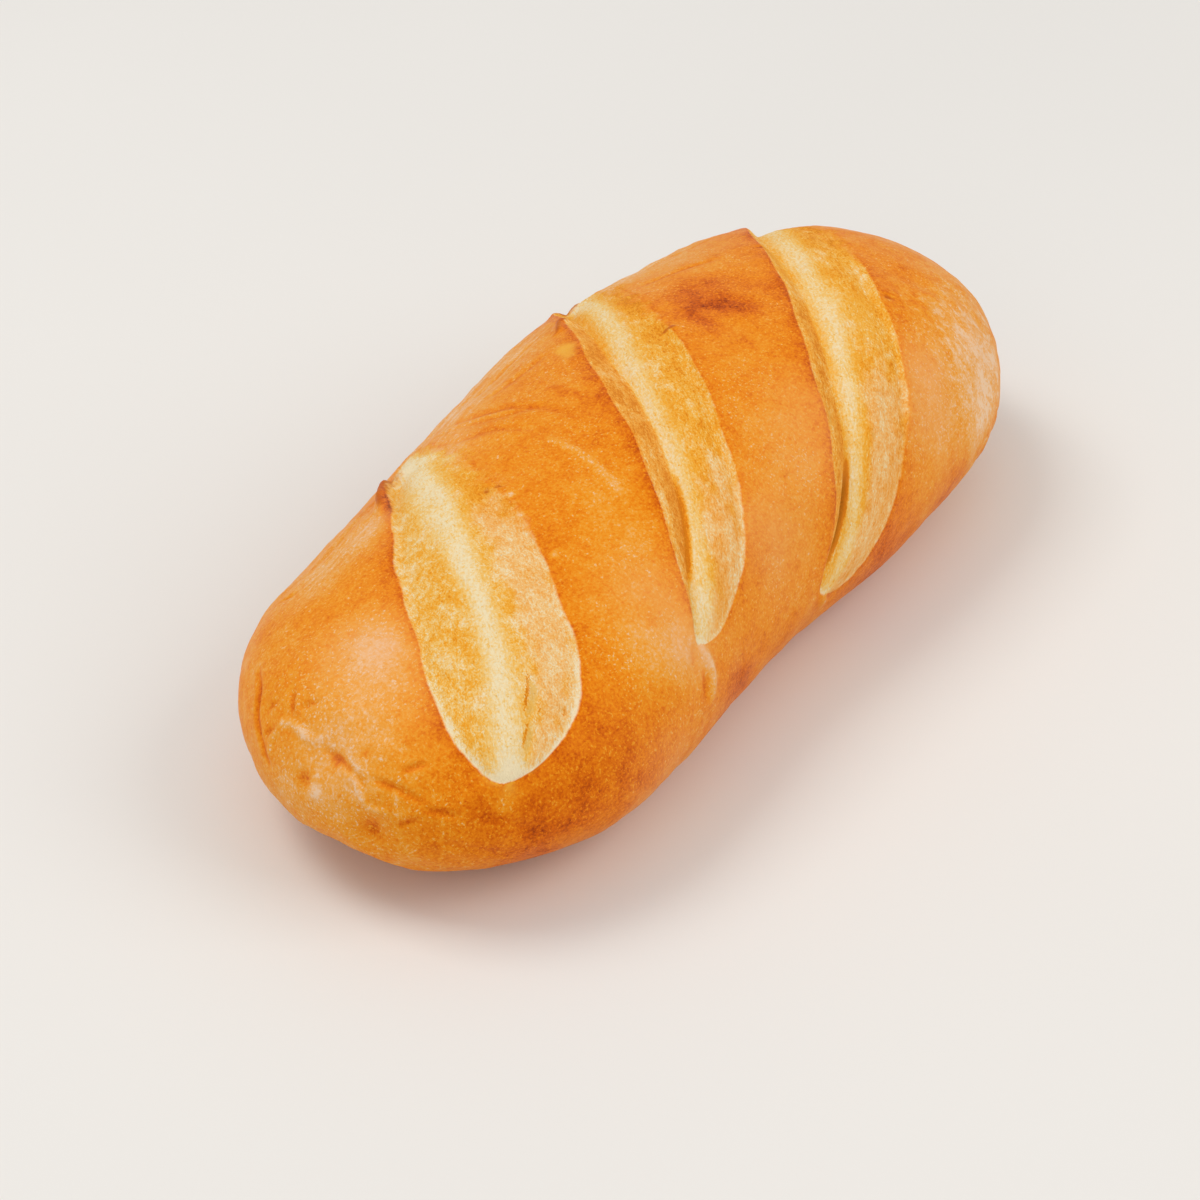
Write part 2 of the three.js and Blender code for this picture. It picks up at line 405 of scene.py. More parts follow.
def in_slit(slash, u):
    """1 along the part of a slash that has a slit, with soft ends."""
    start, stop = slash["slit_span"]
    return smooth_step(u, start - 0.08, start + 0.08) * smooth_step(-u, -stop - 0.06, -stop + 0.06)


print("deepest valley", max(s["depth"][0] for s in SLASHES), "mm under the crust")


# %% [markdown]
# Folds of the skin. The crust is a thin skin that wrinkled and tore as the loaf grew. Each fold is
# a short line on the skin map with a depth and a width, and a negative depth stands proud. The
# puckers are where the rolled log was sealed at its near end, the wrinkles run along the shoulder
# that faces away, and the lips are curls of crust that the heads of the slashes pushed up. Only
# the very crest of a lip is charred, so that is painted apart.

# %% Lines of the folds
PUCKERS = [
    # depth, half width, and the places it runs through, each along and around in mm
    (0.7, 1.0, [(-124, -38), (-129, -34), (-134, -32), (-140, -26)]),
    (0.5, 0.8, [(-133, -28), (-132, -25)]),
    (0.6, 0.8, [(-130, -21), (-134, -19)]),
    (0.5, 0.7, [(-133, -17), (-131, -12)]),
    (0.5, 0.8, [(-137, -27), (-136, -22)]),
    (-0.5, 1.2, [(-139, -25), (-136, -22), (-136, -18), (-138, -11), (-137, -7)]),
    (0.7, 1.0, [(-139, -6), (-140, 1), (-141, 7)]),
    (0.6, 0.9, [(-140, 9), (-139, 15), (-138, 22)]),
    (0.5, 0.9, [(-138, 25), (-135, 33)]),
    (-0.5, 1.0, [(-141, 4), (-143, 9), (-142, 15)]),
    (0.6, 0.9, [(-136, 16), (-133, 20)]),
    (0.6, 0.9, [(-142, 19), (-140, 23)]),
    (0.25, 1.8, [(-132, 38), (-126, 50), (-120, 62)]),
    (0.2, 1.4, [(-138, 34), (-133, 46), (-127, 58)]),
    (0.5, 0.9, [(-101, -48), (-99, -45)]),
]
WRINKLES = [
    (0.35, 1.3, [(-41, -44), (-40, -33), (-35, -23), (-33, -14)]),
    (0.35, 1.5, [(-36, -49), (-28, -31), (-24, -18), (-24, -6)]),
    (0.3, 1.2, [(-34, -39), (-29, -24), (-22, -15)]),
    (-0.4, 1.3, [(-35, -45), (-31, -33), (-27, -24)]),
    (-0.4, 1.2, [(-30, -48), (-22, -39), (-14, -34)]),
    (0.35, 1.3, [(-31, -49), (-20, -37), (-9, -32), (0, -30)]),
    (0.4, 1.0, [(-40, -48), (-24, -50), (-3, -52), (14, -53)]),
    (0.3, 0.9, [(-20, -44), (-4, -42), (12, -41)]),
    (0.3, 0.9, [(-30, -45), (-12, -47), (8, -47)]),
    (0.3, 1.2, [(44, -28), (56, -24), (66, -18)]),
    (0.3, 1.2, [(52, -38), (71, -39), (84, -33)]),
    (0.3, 1.2, [(50, -46), (70, -48), (90, -43)]),
    (-0.35, 1.5, [(-35, -6), (-36, 2), (-38, 9), (-42, 20)]),
    (-0.10, 1.1, [(-36, -7), (-36, 3)]),
    (-0.15, 1.0, [(76, 33), (81, 36), (87, 38)]),
]
TAIL_FOLDS = [
    (-0.9, 1.8, [(-60, 58), (-59, 66), (-61, 73)]),
    (0.5, 1.1, [(-62, 58), (-65, 62)]),
    (0.5, 1.1, [(-62, 65), (-64, 71)]),
    (-0.7, 1.6, [(-3, 84), (0, 91)]),
]
LIPS = [
    (-2.8, 2.0, [(-67, -40), (-62, -44), (-56, -47), (-50, -45)]),
    (-1.6, 1.7, [(31, -51), (38, -52), (42, -50)]),
    (-1.3, 1.5, [(13, -34), (18, -37), (21, -36)]),
    (-0.4, 1.0, [(20, -5), (24, -3)]),
    (0.6, 1.0, [(79, 28), (81, 30)]),
    (0.3, 0.9, [(77, -12), (79, -10)]),
    (0.9, 1.3, [(-58, -12.8), (-56.8, -11.6)]),
    (0.5, 0.7, [(-55.6, -11), (-54.4, -8.5)]),
]
PITS = [
    (0.7, 1.3, [(-103, 32), (-105, 35), (-110, 37)]),
    (0.6, 1.2, [(-112, 39), (-117, 41)]),
    (0.4, 0.8, [(-103, 42), (-103, 44)]),
    (0.3, 1.1, [(-118, 20), (-121, 28)]),
    (0.3, 0.8, [(-112, 12), (-115, 14)]),
    (0.5, 0.8, [(33, 57), (33, 59)]),
    (0.4, 0.7, [(27, 45), (22, 49)]),
    (0.3, 0.7, [(45, 50), (47, 52)]),
    (0.3, 0.7, [(44, 42), (45, 43)]),
]
PIT_RIMS = [
    # amount, half width, and the places it runs through
    (0.9, 0.55, [(-102, 31), (-105.5, 33.2), (-110.5, 35.4)]),
    (0.8, 0.50, [(-111.5, 37.4), (-117, 39.6)]),
    (0.6, 0.40, [(-105.5, 36.8), (-108, 38.5)]),
    (0.7, 0.45, [(-102, 42.6), (-104, 44.0)]),
]


def line_places(stops):
    """Points on the skin along a smooth line through the stops."""
    stops = np.array(stops, float)
    t = np.linspace(-1, 1, 15 * len(stops))
    return skin_places(along_stations(stops[:, 0], t), along_stations(stops[:, 1], t))


def nearness(places, stops, width):
    """1 on a line of the skin, falling off to its sides and towards its ends."""
    line = line_places(stops)
    taper = np.sqrt(np.sin(np.linspace(0, math.pi, len(line)) * 0.9 + 0.05 * math.pi))
    low, high = line.min(0) - 3 * width, line.max(0) + 3 * width
    close = np.all((places > low) & (places < high), axis=1)
    gaps = np.linalg.norm(places[close][:, None] - line[None], axis=2)
    result = np.zeros(len(places))
    result[close] = taper[gaps.argmin(1)] * np.exp(-((gaps.min(1) / width) ** 2))
    return result


def fold_relief(places, folds):
    """Height of a set of folds, and how far each point is in a groove (1) or on a rim (-1)."""
    height = np.zeros(len(places))
    groove = np.zeros(len(places))
    for depth, width, stops in folds:
        middle = nearness(places, stops, width)
        rim = nearness(places, stops, 2.4 * width) - middle
        height += depth * (0.3 * rim - middle)
        groove += min(1, max(-1, depth / 0.8)) * (middle - 0.4 * rim)
    return height, np.clip(groove, -1, 1)


FOLDS = PUCKERS + WRINKLES + TAIL_FOLDS + LIPS + PITS
print("folds:", len(FOLDS))


# %% [markdown]
# The mesh starts as a ball from the Add menu, turned so that its poles point along the loaf. Its
# rings become the loaf's rings and its segments run from tip to tip, closer together on top than
# underneath. Where the crust breaks or folds, the faces are subdivided once more, so that the
# breaks stay crisp without spending faces on the plain crust.

# %% Add the ball
RINGS = 270
SPOKES = 212
RIDGE_CLOSENESS = 0.56    # how far apart the spokes are on the ridge, 1 is even

deselect_all()
bpy.ops.mesh.primitive_uv_sphere_add(
    segments=SPOKES, ring_count=RINGS, radius=1, rotation=(0, math.pi / 2, 0)
)
loaf = bpy.context.object
loaf.name = "loaf_crust"
bpy.ops.object.transform_apply(location=True, rotation=True, scale=True)
print("ball:", len(loaf.data.polygons), "faces")

# %% From the ball to the skin map

def even_rings():
    """Even steps along the loaf's outline, and the t of each."""
    t = np.sin(np.linspace(-math.pi / 2, math.pi / 2, 4000))
    outline = np.stack([t * LENGTH / 2, round_off(t) * HALF_WIDTHS[3]], 1)
    walked = np.concatenate([[0], np.cumsum(np.linalg.norm(np.diff(outline, axis=0), axis=1))])
    return walked / walked[-1], t


def on_the_map(ball):
    """Row, share, x and around of the skin for points of the ball."""
    unit = ball / np.linalg.norm(ball, axis=1, keepdims=True)
    lengthwise = np.arccos(np.clip(-unit[:, 0], -1, 1)) / math.pi
    t = np.interp(lengthwise, *even_rings())
    turn = np.mod(np.arctan2(unit[:, 1], -unit[:, 2]) / (2 * math.pi), 1)
    from_ridge = 2 * turn - 1
    share = 0.5 + 0.5 * from_ridge * mix(RIDGE_CLOSENESS, 1, from_ridge**2)
    row = row_of(t)
    return row, share, t * LENGTH / 2, (share - 0.5) * girth_at(row)


def read_numbers(items, name, size):
    """A property of all points or faces, as rows of numbers."""
    numbers = np.empty(len(items) * size)
    items.foreach_get(name, numbers)
    return numbers.reshape(-1, size)


# %% Subdivide where the crust breaks or folds
BREAK_BAND = 2.2      # mm on both sides of an edge or a valley


def near_a_break(row, share, x, around):
    places = read_map(SKIN, row, share)
    close = np.zeros(len(x), bool)
    for slash in SLASHES:
        u, _, from_near, from_far, _ = slash_places(slash, x, around)
        _, _, from_valley = slash_relief(slash, u, from_near, from_far)
        at_edge = (np.abs(from_near) < BREAK_BAND) | (np.abs(from_far) < BREAK_BAND)
        in_valley = (np.abs(from_valley) < BREAK_BAND) & (from_near > 0) & (from_far > 0)
        close |= (np.abs(u) < 1.02) & (at_edge | in_valley)
    for _, width, stops in FOLDS:
        close |= nearness(places, stops, 2 * width) > 0.2
    return close


def select_faces(thing, chosen):
    """Selects exactly the faces for which chosen is true, and opens edit mode on them."""
    deselect_all()
    thing.select_set(True)
    bpy.context.view_layer.objects.active = thing
    bpy.ops.object.mode_set(mode="EDIT")
    bpy.ops.mesh.select_mode(type="FACE")
    bpy.ops.mesh.select_all(action="DESELECT")
    bpy.ops.object.mode_set(mode="OBJECT")
    thing.data.polygons.foreach_set("select", chosen)
    bpy.ops.object.mode_set(mode="EDIT")


centres = read_numbers(loaf.data.polygons, "center", 3)
select_faces(loaf, near_a_break(*on_the_map(centres)))
bpy.ops.mesh.subdivide(number_cuts=1, smoothness=0)
bpy.ops.object.mode_set(mode="OBJECT")
triangles = sum(len(face.vertices) - 2 for face in loaf.data.polygons)
print("after subdividing at the breaks:", triangles, "triangles")


# %% [markdown]
# Low relief of the crust. Dough never proves evenly: there are shallow dents and swellings, fine
# creases where the skin was folded, and a puckered near end. Noise gives the unevenness, and a
# mask keeps each kind where the real loaf has it.

# %% Noise and dents on the skin

def fractal(points, size, octaves=3, stretch=(1, 1, 1), seed=0.0):
    """Noise from about -1 to 1 whose blobs are about size mm wide."""
    scaled = points / (size * np.asarray(stretch)) + seed
    return np.array([noise.fractal(p, 0.9, 2.1, octaves) for p in scaled.tolist()])


def spots(places, rows):
    """Soft round spots added up: each row is x, around, radius and amount."""
    total = np.zeros(len(places))
    for x, around, radius, amount in rows:
        away = np.linalg.norm(places - skin_places([x], [around]), axis=1) / radius
        total += amount * np.exp(-(away**2))
    return total


row, share, x, around = on_the_map(read_numbers(loaf.data.vertices, "co", 3))
plain = read_map(SKIN, row, share)
out = read_map(OUTWARD, row, share)
out /= np.linalg.norm(out, axis=1, keepdims=True)
chart = np.stack([x, around, np.zeros(len(x))], 1)
print("skin points:", len(plain))

# %% Dents, swellings and creases
LUMPS = [
    (-86, -47, 17, -2.0),
    (-140, -6, 6, -1.2),
    (-144, 12, 7, -1.2),
    (-97, 72, 20, 1.4),
    (-44, 78, 18, -1.2),
]
DIMPLES = [
    (-140, -2, 2.6, -1.0),
    (-143, -10, 2.2, -0.9),
    (-144, 12, 2.8, -0.9),
    (-144, -6, 2.4, 0.6),
    (-137, 5, 1.6, -0.4),
    (-112, -14, 1.5, -0.4),
]

FOOT = 9     # mm high: below it the crust is rougher, and relief fades towards the underside

on_near_end = smooth_step(-x, 108, 134)
on_far_end = smooth_step(x, 62, 92) * smooth_step(around, 14, 42)
on_shoulder = smooth_step(-around, 30, 44) * smooth_step(around + 78, 0, 24)
on_shoulder *= smooth_step(115 - np.abs(x), 0, 30)
underneath = smooth_step(FOOT - plain[:, 2], 0, 8)

uneven = 0.60 * fractal(plain, 34, 3) + 0.16 * fractal(plain, 9, 3, seed=7.0)
puckered = on_near_end * (0.2 - 0.55 * np.abs(fractal(plain, 13, 3, seed=3.0)))
wrinkled = on_shoulder * 0.45 * fractal(chart, 3.2, 3, stretch=(7, 1, 1), seed=11.0)
streaked = on_far_end * 0.40 * fractal(chart, 5, 3, stretch=(1, 2, 1), seed=5.0)
rough_foot = underneath * 0.5 * fractal(plain, 5, 3, seed=13.0)
crust_relief = uneven + puckered + wrinkled + streaked + rough_foot
fold_height, fold_shade = fold_relief(plain, PUCKERS + WRINKLES + TAIL_FOLDS)
lip_height, _ = fold_relief(plain, LIPS)
pit_height, pit_groove = fold_relief(plain, PITS)
lump_height = spots(plain, LUMPS) + spots(plain, DIMPLES)
print("crust relief from", crust_relief.min().round(2), "to", crust_relief.max().round(2), "mm")

# %% Slashes on the whole skin
HALF_SLASH = 75           # mm that half a slash counts for in its patterns
APART = (400, 200)        # mm between the patterns of one slash and the next

slash_height = np.zeros(len(x))
inside = np.full(len(x), -30.0)          # mm inside the edge of a slash, negative outside
crumb_place = np.zeros((len(x), 3))      # mm along and across the slash
pale = np.zeros(len(x))                  # 1 in the middle of the pale stripe
golden = np.ones(len(x))                 # 1 where the dough is golden, 0 where it is peach
wall = np.zeros(len(x))                  # 1 on the wall under the near flap
slit = np.zeros(len(x))                  # 1 in the dark slit
fading = np.zeros(len(x))                # 1 where the dough fades into the crust
rimmed = np.zeros(len(x))                # 1 where the dough's edge has a white rim
baked = np.zeros(len(x))                 # how much darker each slash's dough is
near_edge_brown_and_shade = np.zeros(len(x))           # 1 on the crust at a near edge, less away from it

for number, slash in enumerate(SLASHES):
    u, sideways, from_near, from_far, past_ends = slash_places(slash, x, around)
    height, v, from_valley = slash_relief(slash, u, from_near, from_far)
    slash_height += height
    deep = np.minimum(np.minimum(from_near, from_far), -past_ends)
    here = deep > inside
    inside[here] = deep[here]
    half = (from_near + from_far) / 2
    crumb_place[here, 0] = (u * HALF_SLASH + APART[0] * number)[here]
    crumb_place[here, 1] = (sideways + APART[1] * number)[here]
    to_stripe = (v - along_stations(slash["stripe"], u)) * half
    pale[here] = np.exp(-(to_stripe / along_stations(slash["stripe_width"], u)) ** 2)[here]
    peach_from_u, peach_from_v = slash["peach"]
    peach = smooth_step(u - peach_from_u, 0, 0.5) * smooth_step(v - peach_from_v, 0, 0.4)
    golden[here] = 1 - peach[here]
    if slash["slit"] > 0:
        wall_from, wall_amount = slash["wall"]
        on_wall = smooth_step(-from_valley, -0.2, 1.2) * smooth_step(u - wall_from, 0, 0.5)
        wall[here] = (wall_amount * on_wall * (deep > 0))[here]
        # the slit's darkness is painted shade in the narrow crack
        dark = slash["slit"] * np.exp(-(((from_valley - 0.2) / 1.0) ** 2))
        slit[here] = (in_slit(slash, u) * dark)[here]
    fades = smooth_step(slash["fades_until"] - u, 0, 0.3) * smooth_step(from_near - from_far, 0, 8)
    fading[here] = fades[here]
    rim_from, rim_amount = slash["rim"]
    rimmed[here] = (rim_amount * smooth_step(u - rim_from, 0, 0.4))[here]
    baked[here] = slash["baked"]
    ends_softly = smooth_step(1 - np.abs(u), 0, 0.25)
    outside_near = np.exp(np.minimum(from_near, 0) / 3.0) * (from_near < 0) * (np.abs(u) < 1)
    near_edge_brown_and_shade = np.maximum(near_edge_brown_and_shade, outside_near * ends_softly)

pale += spots(plain, [(-48, -46, 3.2, 1.3), (-47, -39, 3, 1.1), (-47, -31, 2.6, 0.8)])
pale += spots(plain, [(43, -58, 6, 1.2), (43, -50, 6, 0.8), (70, 24, 6, 0.4), (61, 33, 6, 0.4)])
crumb = smooth_step(inside, 0, 2)
crumb_relief = crumb * (0.45 * fractal(crumb_place, 9, 3, stretch=(1.6, 1, 1), seed=2.0)
                        + 0.16 * fractal(crumb_place, 2.6, 3, stretch=(2.2, 1, 1), seed=9.0))
border_groove = -0.2 * np.exp(-((inside - 0.3) / 0.8) ** 2)
print("points in the slashes:", int((inside > 0).sum()))

# %% Put the points in place
relief = slash_height + lump_height + (1 - crumb) * (crust_relief + fold_height)
relief += crumb_relief + border_groove + lip_height + pit_height
relief *= smooth_step(plain[:, 2], 0.5, FOOT)
placed = plain + out * relief[:, None]
placed[:, 2] = np.maximum(0, placed[:, 2] - BASE_TRIM)
placed *= MM

middle = (placed.min(0) + placed.max(0)) / 2
frame_middle = (np.array(loaf_low) + np.array(loaf_high)) / 2
placed[:, :2] += (frame_middle - middle)[:2]
loaf.data.vertices.foreach_set("co", placed.ravel())
loaf.data.update()
print("loaf box in mm", (placed.min(0) / MM).round(1), (placed.max(0) / MM).round(1))

# %% Finish the mesh
select_faces(loaf, np.ones(len(loaf.data.polygons), bool))
bpy.ops.mesh.normals_make_consistent(inside=False)
bpy.ops.object.mode_set(mode="OBJECT")
bpy.ops.object.shade_smooth()
print("finished mesh:", len(loaf.data.vertices), "points")


# %% [markdown]
# Browning is painted on the points as numbers, so that the material can read them. More heat
# makes the crust browner, less leaves it paler. The ridge and the parts that stand proud are
# orange, the near end low down is the brownest, partly as painted shade and a painted contact
# shadow, and the flanks and the far end stayed pale, partly as a painted sheen. The same numbers
# carry painted shade beside the slashes' edges and in the near end's dimples.

# %% Paint the browning
BROWNING_AND_LIGHT = [
    # x, around, radius, and how much browner or, where negative, paler
    # (-116, 57), (-94, 66) and (-123, 64): darker low on the near end, painted shade where it
    # turns under, over browner crust; (-123, 64) is a painted contact shadow
    (-116, 57, 22, 0.25),
    (-94, 66, 16, 0.15),
    (-123, 64, 7, 0.22),
    (-137, 38, 14, 0.06),
    (-86, 36, 8, 0.08),
    (-88, -20, 12, 0.06),
    (-74, 48, 13, -0.20),
    (-56, 30, 10, -0.10),
    (-68, 46, 2.4, 0.16),
    # (-64, 57) and (-52, 66): paler, a painted sheen on the flank below the second slash's tail
    (-64, 57, 9, -0.22),
    (-52, 66, 12, -0.10),
    (-40, 62, 14, 0.02),
    # (-44, 84): darker low on the -Y flank, painted shade where it turns away from the light
    (-44, 84, 12, 0.24),
    (-48, 92, 12, 0.10),
    (4, 50, 20, -0.10),
    # (62, 62), (98, 56), (92, 62) and (84, 74): the far end's own paler crust, with a painted
    # sheen on it
    (62, 62, 20, -0.20),
    (10, 76, 14, 0.06),
    (98, 56, 16, -0.18),
    (92, 62, 16, -0.10),
    (84, 74, 12, -0.16),
    (92, 26, 14, 0.08),
    (66, 92, 10, 0.26),
    (30, 97, 16, 0.26),
    (95, 84, 10, 0.12),
    (-15, 96, 14, 0.12),
    # (-24, -49) to (-93, -37): paler along the far shoulder, paler stretched crust with a painted
    # sheen where the light grazes it
    (-24, -49, 12, -0.20),
    (4, -51, 12, -0.18),
    (-45, -34, 8, -0.28),
    (-76, -37, 9, -0.36),
    (-93, -37, 10, -0.18),
    (-61, -35, 6, 0.16),
    (44, -41, 8, -0.20),
    (46, -12, 10, 0.10),
    (62, -48, 18, -0.16),
    (-115, -48, 16, -0.06),
    # (-114, -6) and (-122, 6): a painted sheen on the near end
    (-114, -6, 10, -0.42),
    (-122, 6, 12, -0.12),
    (-136, -6, 12, -0.13),
    (-134, 6, 10, -0.08),
    (-144, -2, 12, -0.14),
    (-142, -28, 12, -0.12),
    (-44, 16, 8, -0.14),
    (31, -47, 3.5, -0.10),
    (-57, -5, 1.1, -0.6),
    (-62, 1, 1.0, -0.6),
    (-68, 6, 1.2, -0.6),
    (-69, 16, 1.1, -0.5),
    # (-144, -6) to (-112, -14): paler on the raised edges beside the near end's dimples and darker
    # in the dimples themselves, painted highlight and painted shade
    (-144, -6, 2.2, -0.30),
    (-141, 5, 2.0, -0.16),
    (-137, -13, 2.0, -0.16),
    (-140, -2, 1.9, 0.36),
    (-143, -10, 1.7, 0.40),
    (-144, 12, 2.4, 0.34),
    (-137, 5, 1.2, 0.30),
    (-112, -14, 1.3, 0.26),
    (38, 4, 20, 0.05),
    (-66, -96, 20, 0.10),
    (-20, -78, 14, -0.08),
    (22, -98, 22, 0.12),
    (74, -84, 16, -0.10),
    (104, -70, 14, 0.07),
    (-108, -72, 14, 0.06),
    (-126, 43, 3.5, -0.20),
]
SCORCHED = [
    # how much browner, half width, and the places it runs through
    (0.34, 4.2, [(41, -15), (42, -6), (44, 0), (46, 9)]),
    (0.28, 3.2, [(36, -8), (38, -3), (40, 3)]),
    (0.28, 2.8, [(33, -6), (31, 0), (30, 6)]),
    (0.16, 5.0, [(50, -14), (54, -2), (58, 8)]),
    (0.20, 1.3, [(30, 13), (30, 17)]),
    (0.30, 2.0, [(-72, -33), (-62, -42)]),
    (0.14, 1.6, [(-12, -22), (-16, -12), (-15, -2)]),
    (-0.08, 1.6, [(-35, -6), (-36, 2), (-38, 9), (-42, 20)]),
]
PINK_SHEEN = [
    # x, around, radius, and how much painted pink sheen: the soft reflection of the studio panels,
    # painted into the colour; at the far end it lies over the crust's own paler tone
    (20, 42, 14, 0.4),
    (6, 50, 14, 0.4),
    (-18, 58, 13, 0.7),
    (-62, 42, 12, 0.5),
    (-62, 57, 9, 0.9),
    (68, 52, 10, 0.8),
    (57, 63, 11, 0.7),
    (98, 50, 12, 0.4),
    (-115, -7, 11, 1.0),
    (-124, 8, 12, 0.3),
    (-140, -4, 12, 0.3),
    (-84, 78, 12, 0.5),
    (-73, -37, 8, 0.5),
    (-45, -34, 8, 0.5),
    (-38, -42, 12, 0.5),
    (-20, -48, 12, 0.5),
    (2, -52, 12, 0.4),
]
BUTTERY = [
    # x, around, radius, and how yellow
    (3.5, -25.5, 3.2, 1.0),
    (0, -22, 2.4, 0.6),
]
GLOW = [(-125, 42, 9, 0.9)]      # round the nearest slash's tail


def paint(name, values):
    """Keeps one number for each point of the loaf, for the material to read."""
    layer = loaf.data.attributes.new(name, "FLOAT", "POINT")
    layer.data.foreach_set("value", np.asarray(values, np.float32))


def paint_place(name, places):
    """Keeps a place for each point, so that a pattern can follow the skin or a slash."""
    layer = loaf.data.attributes.new(name, "FLOAT_VECTOR", "POINT")
    layer.data.foreach_set("vector", np.asarray(places, np.float32).ravel())


EDGE_SOFTNESS = (0.8, 9.0)     # mm, where the dough ends sharply and where it fades
CREST = 0.7                    # share of a lip's width that is charred

outside = np.maximum(0, -inside)
browning = spots(plain, BROWNING_AND_LIGHT)
for amount, width, stops in SCORCHED:
    browning += amount * nearness(plain, stops, width)
# Just outside every slash edge the crust is browner, where it baked more, and the thin dark band
# is also painted shade where the crust meets the edge.
browning += (inside < 0) * (0.08 * np.exp(-outside / 1.2) + 0.05 * np.exp(-outside / 7))
# Beside each near edge the crust is browner still: partly browner crust, partly painted shade
# beside the edge.
browning += 0.20 * near_edge_brown_and_shade + 0.18 * underneath
softness = mix(*EDGE_SOFTNESS, fading)
paint("browning", browning)
# the folds' grooves are painted darker as painted shade, and their rims paler as a painted
# highlight
paint("groove", fold_shade)
paint("charred", sum(nearness(plain, stops, CREST * width) for _, width, stops in LIPS))
paint("pit", np.maximum(0, pit_groove))
paint("pit_rim", sum(amount * nearness(plain, stops, width) for amount, width, stops in PIT_RIMS))
paint("rosy", spots(plain, PINK_SHEEN))
paint("rimmed", rimmed)
paint("baked", baked)
paint("shoulder", on_shoulder)
paint("near_end", smooth_step(-x, 118, 136) * smooth_step(around, -32, -8))
paint("far_end", on_far_end)
paint("inside", inside)
paint("border", inside / softness)
paint("fading", fading)
paint("pale", pale)
paint("golden", golden)
paint("wall", wall)
paint("slit", slit)
tail_glow = spots(plain, GLOW) * np.exp(-outside / 2.4) * (inside < 0)
paint("buttery", spots(plain, BUTTERY) + tail_glow)
paint_place("skin_place", chart)
paint_place("crumb_place", crumb_place)
print("browning from", browning.min().round(2), "to", browning.max().round(2))


# %% [markdown]
# Materials are written as sums. A small class wraps what a node gives out, so that adding or
# multiplying two of them adds a Math node, and one method adds any other node.

# %% A small language for materials

class Value:
    """What one node gives out. Arithmetic on it adds Math nodes."""

    def __init__(self, pot, socket):
        self.pot = pot
        self.socket = socket

    def math(self, operation, *values):
        return self.pot.node("ShaderNodeMath", {"operation": operation}, dict(enumerate(values)))

    def __add__(self, other):
        return self.math("ADD", self, other)

    __radd__ = __add__

    def __sub__(self, other):
        return self.math("SUBTRACT", self, other)

    def __rsub__(self, other):
        return self.math("SUBTRACT", other, self)

    def __mul__(self, other):
        return self.math("MULTIPLY", self, other)

    __rmul__ = __mul__

    def between(self, low, high):
        """0 below low, 1 above high, and smooth between them."""
        return self.pot.node(
            "ShaderNodeMapRange",
            {"interpolation_type": "SMOOTHSTEP"},
            {"Value": self, "From Min": low, "From Max": high},
        )


class PaintPot:
    """One material, its nodes and its Principled shader."""

    def __init__(self, name):
        self.material = bpy.data.materials.new(name)
        self.material.use_nodes = True
        self.tree = self.material.node_tree
        self.shader = self.tree.nodes["Principled BSDF"]

    def node(self, kind, settings=None, inputs=None, out=0):
        """Adds a node: its settings come first, then the values or links of its sockets."""
        node = self.tree.nodes.new(kind)
        for name, value in (settings or {}).items():
            if name == "stops":
                self.set_stops(node.color_ramp, value)
            else:
                setattr(node, name, value)
        for name, value in (inputs or {}).items():
            self.feed(node.inputs[name], value)
        return Value(self, node.outputs[out])

    def set_stops(self, ramp, stops):
        while len(ramp.elements) < len(stops):
            ramp.elements.new(1.0)
        for element, (place, colour) in zip(ramp.elements, stops):
            element.position = place
            element.color = (*colour, 1)

    def feed(self, socket, value):
        if isinstance(value, Value):
            self.tree.links.new(value.socket, socket)
        elif socket.type == "RGBA":
            socket.default_value = (*value, 1)
        else:
            socket.default_value = value

    def painted(self, name, out="Fac"):
        return self.node("ShaderNodeAttribute", {"attribute_name": name}, out=out)

    def own_place(self):
        return self.node("ShaderNodeTexCoord", out="Object")

    def stretched(self, place, scale):
        return self.node("ShaderNodeMapping", None, {"Vector": place, "Scale": scale})

    def noise(self, place, scale, detail=3.0, roughness=0.5, distortion=0.0):
        inputs = {"Vector": place, "Scale": scale, "Detail": detail,
                  "Roughness": roughness, "Distortion": distortion}
        return self.node("ShaderNodeTexNoise", None, inputs)

    def cells(self, place, scale):
        """Distance from the middle of the nearest cell, in cell widths."""
        return self.node("ShaderNodeTexVoronoi", None, {"Vector": place, "Scale": scale})

    def ramp(self, value, stops):
        return self.node("ShaderNodeValToRGB", {"stops": stops}, {"Fac": value}, out="Color")

    def blend(self, share, first, second):
        inputs = {0: share, 6: first, 7: second}
        return self.node("ShaderNodeMix", {"data_type": "RGBA"}, inputs, out=2)

    def bump(self, height, strength, distance):
        inputs = {"Height": height, "Strength": strength, "Distance": distance}
        return self.node("ShaderNodeBump", None, inputs)

    def finish(self, **sockets):
        for name, value in sockets.items():
            self.feed(self.shader.inputs[name.replace("_", " ")], value)
        return self.material


print("paint pots ready")


# %% [markdown]
# The crust. A white loaf's crust is a thin, satin, golden-orange skin. Close up it is covered in
# tiny blisters that stay lighter than the skin between them, and it browns in cloudy patches.
# One number, heat, gathers all that browns or pales it, painted shade and painted sheen among
# it, and a ramp turns heat into colour.

# %% Colours of the crust
CRUST_STOPS = [
    (0.00, (0.84, 0.580, 0.370)),
    (0.18, (0.83, 0.430, 0.145)),
    (0.28, (0.83, 0.362, 0.050)),
    (0.38, (0.83, 0.305, 0.016)),
    (0.52, (0.80, 0.225, 0.005)),
    (0.72, (0.65, 0.125, 0.002)),
    (0.88, (0.42, 0.060, 0.002)),
    (1.00, (0.16, 0.020, 0.003)),
]
SHEEN_COLOUR = (0.85, 0.400, 0.160)
CHARRED = (0.50, 0.105, 0.010)
BUTTER = (0.86, 0.430, 0.045)

crust = PaintPot("baked_crust")
place = crust.own_place()
skin_at = crust.painted("skin_place", "Vector")

